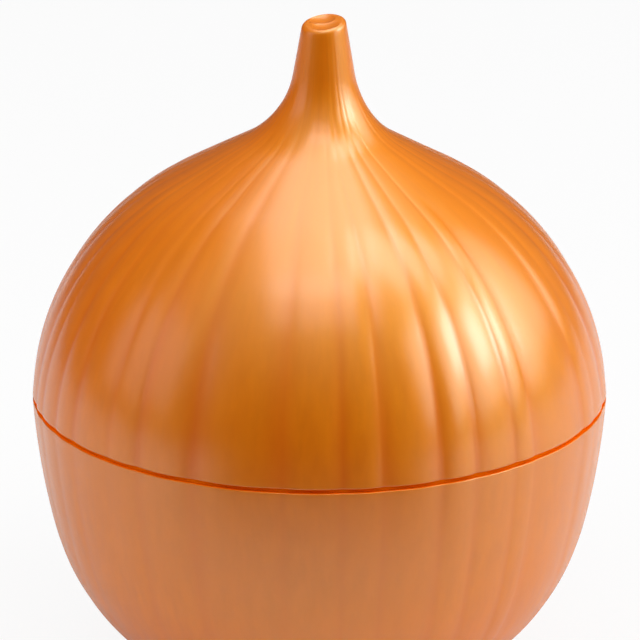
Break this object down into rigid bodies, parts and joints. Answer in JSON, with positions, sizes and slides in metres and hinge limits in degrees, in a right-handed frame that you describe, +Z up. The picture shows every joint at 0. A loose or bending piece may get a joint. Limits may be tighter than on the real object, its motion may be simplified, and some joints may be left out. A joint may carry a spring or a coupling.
{
  "type": "onion keeper",
  "caption": "Onion-shaped storage keeper: a fluted round bowl with an inner collar and a fluted domed lid with a tapering neck that lifts off.",
  "frame": {"origin": "Middle of the foot, on the surface that the keeper stands on", "axes": "+Z up along the axis of the keeper, -Y towards the side that the picture shows, +X to the right in it"},
  "size_m": [0.108, 0.108, 0.1236],
  "materials": {
    "base_plastic": "satin pearl orange",
    "lid_plastic": "satin pearl orange"
  },
  "bodies": {
    "base": {"base": "base_plastic"},
    "lid": {"lid": "lid_plastic"}
  },
  "joints": [
    {"name": "lid_lift", "type": "slide", "parent": "base", "child": "lid", "axis": [0, 0, 1], "range_m": [0, 0.08]}
  ]
}
